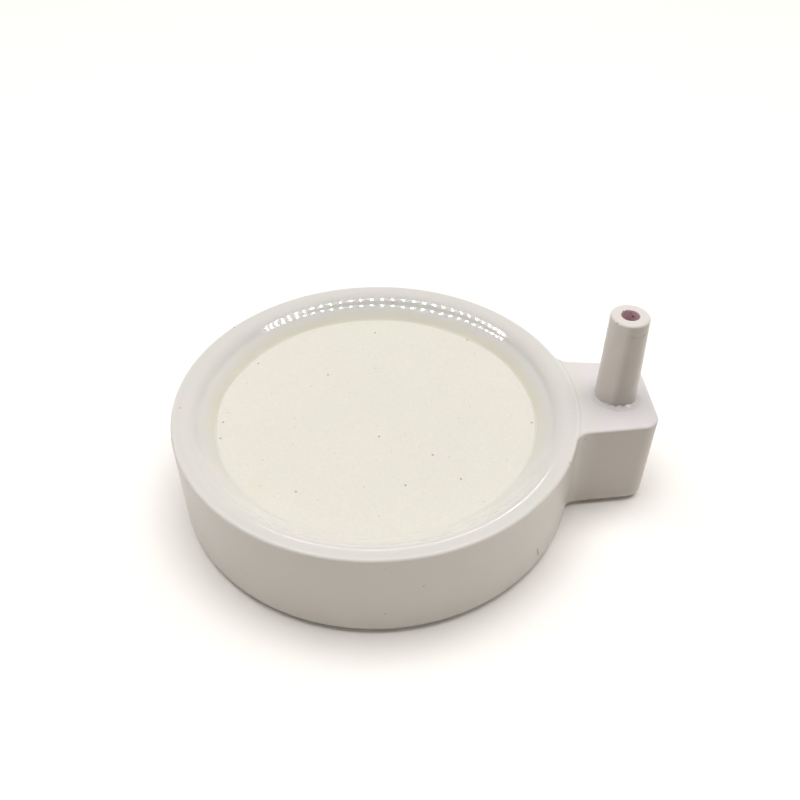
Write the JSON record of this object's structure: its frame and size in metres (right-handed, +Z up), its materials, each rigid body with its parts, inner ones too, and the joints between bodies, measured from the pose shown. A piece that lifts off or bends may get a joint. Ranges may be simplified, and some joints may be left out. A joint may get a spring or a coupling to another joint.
{
  "type": "carbon dioxide diffuser",
  "caption": "Round gas diffuser for an aquarium: a recessed porous ceramic disc in a moulded housing, with an upright inlet tube on a side lug.",
  "frame": {"origin": "centre of the round housing's flat underside, on the ring's axis", "axes": "+X from the ring's axis towards the lug and its inlet tube, +Z up through the disc, along the inlet tube"},
  "size_m": [0.0593, 0.05, 0.0251],
  "materials": {
    "housing_plastic": "glossy moulded white",
    "plate_plastic": "satin moulded white",
    "porous_ceramic": "matt, fine open pores",
    "bedding_sealant": "cured sealant",
    "epoxy": "clear cured epoxy, slightly yellow",
    "tube_plastic": "semi-gloss white",
    "glue": "clear wrinkled glue"
  },
  "bodies": {
    "root": {"housing": "housing_plastic", "base_plate": "plate_plastic", "ceramic_disc": "porous_ceramic", "disc_bedding": "bedding_sealant", "disc_seal": "epoxy", "inlet_tube": "tube_plastic", "tube_seal": "glue"}
  },
  "joints": []
}
